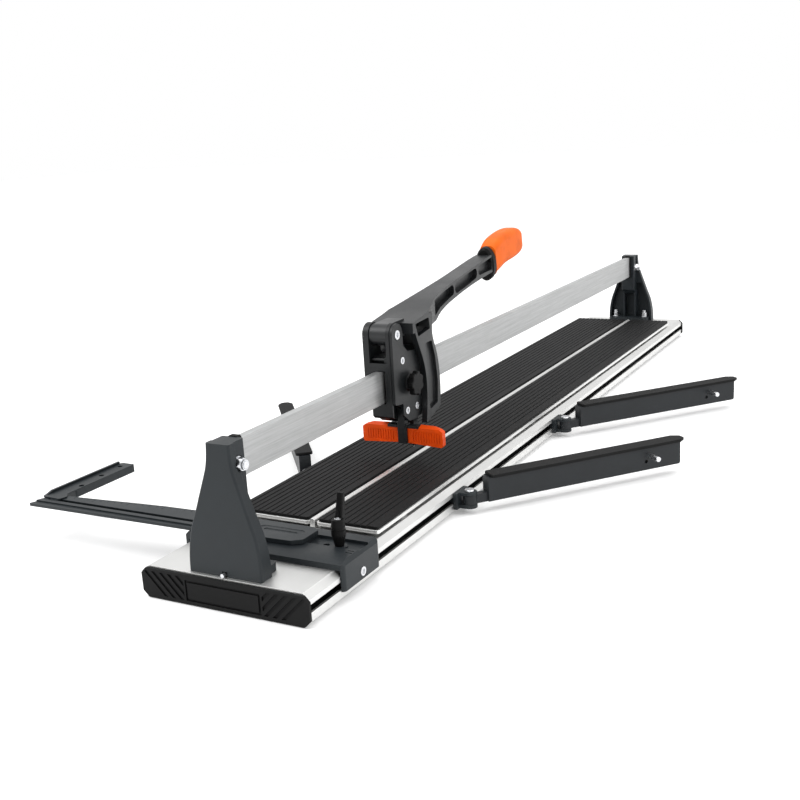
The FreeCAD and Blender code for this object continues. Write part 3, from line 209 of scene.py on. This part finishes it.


# Painted shade, a dark band inside the base's side slots: half width, and lower and upper
# height.
SLOT_DEEP = 99.3 * MM
SLOT_LOW = 11.5 * MM
SLOT_HIGH = 27.5 * MM
SLOT_PAINTED_SHADE = (0.05, 0.05, 0.05, 1.0)

MATERIALS = {
    "casting": coated_metal("casting_coat", (0.012, 0.0155, 0.018), 0.42, 0.28),
    "casting_head": coated_metal("head_coat", (0.005, 0.006, 0.0068), 0.40, 0.35),
    "handle_metal": coated_metal("handle_coat", (0.008, 0.009, 0.010), 0.36, 0.45),
    "arm_casting": coated_metal("arm_coat", (0.014, 0.016, 0.018), 0.44, 0.25),
    "base_aluminium": extruded_aluminium("anodised_aluminium", (0.72, 0.72, 0.71), 0.42),
    "bar_steel": drawn_steel("bar_steel_finish", (0.47, 0.475, 0.475), 0.5, (1.0, 0.02, 1.0)),
    "bright_steel": drawn_steel("zinc_finish", (0.70, 0.71, 0.73), 0.27, (1.0, 1.0, 1.0)),
    "carbide": drawn_steel("carbide_finish", (0.38, 0.38, 0.39), 0.30, (1.0, 1.0, 1.0)),
    "black_rubber": moulded("black_rubber_finish", (0.005, 0.005, 0.0052), 0.62, 1200.0, 0.0001,
                            0.15),
    "black_plastic": moulded("black_plastic_finish", (0.0035, 0.0035, 0.0036), 0.44, 1800.0,
                             0.00006, 0.12),
    "shoe_plastic": moulded("shoe_finish", (0.68, 0.060, 0.0006), 0.42, 1600.0, 0.00008, 0.15),
    "grip_rubber": moulded("grip_finish", (0.72, 0.120, 0.007), 0.52, 1400.0, 0.0001, 0.15),
}
SLOT_OF = {part["node"]: part["material_slot"] for part in frame["record"]["subparts"]}


# ------------------------------------------------------------------ pieces from the CAD
# Their ribbed faces shade wrongly once flat triangles are joined into one face.
RIBBED_CAPS = ("front_end_cap", "rear_end_cap")
WELD_DISTANCE = 0.002 * MM
FLAT_ANGLE = math.radians(0.4)
SHARP_ANGLE = math.radians(28.0)


def welded_copy(node):
    """A copy of a CAD node's mesh with its flat faces joined up, ready for a bevel."""
    mesh = NODES[node].data.copy()
    mesh.name = node + "_finished"
    mesh.materials.clear()
    bm = bmesh.new()
    bm.from_mesh(mesh)
    bmesh.ops.remove_doubles(bm, verts=bm.verts, dist=WELD_DISTANCE)
    if node not in RIBBED_CAPS:
        bmesh.ops.dissolve_limit(bm, angle_limit=FLAT_ANGLE, verts=bm.verts, edges=bm.edges)
    for face in bm.faces:
        face.smooth = True
    for edge in bm.edges:
        edge.smooth = not (edge.is_boundary or edge.calc_face_angle(0.0) > SHARP_ANGLE)
    bm.to_mesh(mesh)
    bm.free()
    return mesh


def finish_piece(node, width):
    """The visible piece for a CAD node: same shape with its corners broken."""
    piece = bpy.data.objects.new(node + "_piece", welded_copy(node))
    bpy.context.scene.collection.objects.link(piece)
    piece.data.materials.append(MATERIALS[SLOT_OF[node]])
    bevel = piece.modifiers.new("corners", "BEVEL")
    bevel.width = width
    bevel.segments = 2
    bevel.limit_method = "ANGLE"
    bevel.angle_limit = SHARP_ANGLE
    bevel.use_clamp_overlap = True
    weighted = piece.modifiers.new("flat_faces", "WEIGHTED_NORMAL")
    weighted.keep_sharp = True
    weighted.weight = 100
    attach(piece, BODY_OF[node])
    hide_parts(node)


BEVELS = {
    "base_extrusion": 0.5 * MM, "front_end_cap": 0.5 * MM, "rear_end_cap": 0.5 * MM,
    "rubber_feet": 0.5 * MM, "front_pylon": 0.8 * MM, "rear_pylon": 0.8 * MM,
    "guide_bar": 0.3 * MM, "pylon_cross_bolts": 0.3 * MM, "pylon_cross_nuts": 0.3 * MM,
    "pylon_base_bolts": 0.3 * MM, "bar_bumpers": 0.6 * MM, "breaking_strip": 0.3 * MM,
    "fence_saddle": 1.6 * MM, "saddle_screws": 0.25 * MM, "fence_pivot_pin": 0.4 * MM,
    "angle_plate": 0.6 * MM, "ruler_rail": 0.35 * MM, "side_stop": 0.5 * MM,
    "clamp_lever": 0.5 * MM, "clamp_lever_screw": 0.2 * MM, "arm_brackets": 0.7 * MM,
    "arm_hinge_pins": 0.5 * MM, "carriage_body": 0.9 * MM, "carriage_cover": 0.7 * MM,
    "cover_screws": 0.25 * MM, "handle_pivot_pin": 0.3 * MM, "roller_axles": 0.2 * MM,
    "breaker_plunger": 0.5 * MM, "breaker_cross_pin": 0.3 * MM, "wheel_holder": 0.4 * MM,
    "scoring_wheel": 0.1 * MM, "wheel_axle": 0.2 * MM, "height_knob": 0.5 * MM,
    "handle_casting": 1.8 * MM, "handle_collar": 1.0 * MM, "handle_grip": 1.0 * MM,
}


def default_width(node):
    """Corner width of a piece that BEVELS doesn't name."""
    if node.startswith(("bed_", "roller_")):
        return 0.3 * MM
    if node.startswith("breaker_wing"):
        return 0.7 * MM
    return 0.8 * MM


for node in sorted(NODES):
    finish_piece(node, BEVELS.get(node, default_width(node)))


# ------------------------------------------------------------------ studio
def plain_floor():
    """Large pale sheet under the tool."""
    mesh = bpy.data.meshes.new("studio_floor")
    half = 12.0
    bm = bmesh.new()
    corners = [bm.verts.new((x, y, 0.0))
               for x, y in ((-half, -half), (half, -half), (half, half), (-half, half))]
    bm.faces.new(corners)
    bm.to_mesh(mesh)
    bm.free()
    floor = bpy.data.objects.new("studio_floor", mesh)
    bpy.context.scene.collection.objects.link(floor)
    material, tree, shader, coords = new_material("floor_finish")
    cloud = noise(tree, coords, 3.0, 2.0)
    tree.links.new(ramp(tree, cloud, 0.90, 0.92), shader.inputs["Base Color"])
    shader.inputs["Roughness"].default_value = 0.9
    shader.inputs["Emission Color"].default_value = (1.0, 1.0, 1.0, 1.0)
    shader.inputs["Emission Strength"].default_value = 0.12
    mesh.materials.append(material)


def area_light(name, location, target, size, energy):
    """White rectangular light in watts, aimed at a target."""
    data = bpy.data.lights.new(name, "AREA")
    data.shape = "RECTANGLE"
    data.size, data.size_y = size
    data.energy = energy
    light = bpy.data.objects.new(name, data)
    light.location = location
    aim = Vector(target) - Vector(location)
    light.rotation_euler = aim.to_track_quat("-Z", "Y").to_euler()
    bpy.context.scene.collection.objects.link(light)


def studio():
    """White surroundings and three soft lights."""
    world = bpy.data.worlds.new("studio_world")
    bpy.context.scene.world = world
    world.use_nodes = True
    background = world.node_tree.nodes["Background"]
    background.inputs["Color"].default_value = (1.0, 1.0, 1.0, 1.0)
    background.inputs["Strength"].default_value = 1.0
    area_light("key_light", (-1.2, -1.6, 2.4), (0.0, -0.2, 0.1), (1.6, 1.6), 38.0)
    area_light("side_light", (2.2, -0.4, 1.5), (0.0, -0.2, 0.1), (1.4, 1.8), 16.0)
    area_light("top_light", (0.0, 0.6, 2.6), (0.0, 0.1, 0.1), (2.0, 2.6), 26.0)


CAMERA_PLACE = (0.64675, -1.49825, 0.4655)
CAMERA_RIGHT = (0.879381, 0.472593, -0.057834)
CAMERA_UP = (-0.0694, 0.247403, 0.966424)
CAMERA_LENS = 47.9


def photo_camera():
    """Camera at the reference view's place and angle."""
    data = bpy.data.cameras.new("photo_camera")
    data.sensor_width = 36.0
    data.lens = CAMERA_LENS
    data.clip_end = 50.0
    camera = bpy.data.objects.new("photo_camera", data)
    right = Vector(CAMERA_RIGHT)
    up = Vector(CAMERA_UP)
    back = right.cross(up)
    turn = Matrix((right, up, back)).transposed().to_4x4()
    camera.matrix_world = Matrix.Translation(Vector(CAMERA_PLACE)) @ turn
    bpy.context.scene.collection.objects.link(camera)
    bpy.context.scene.camera = camera


plain_floor()
studio()
photo_camera()
bpy.context.scene.view_settings.view_transform = "Standard"
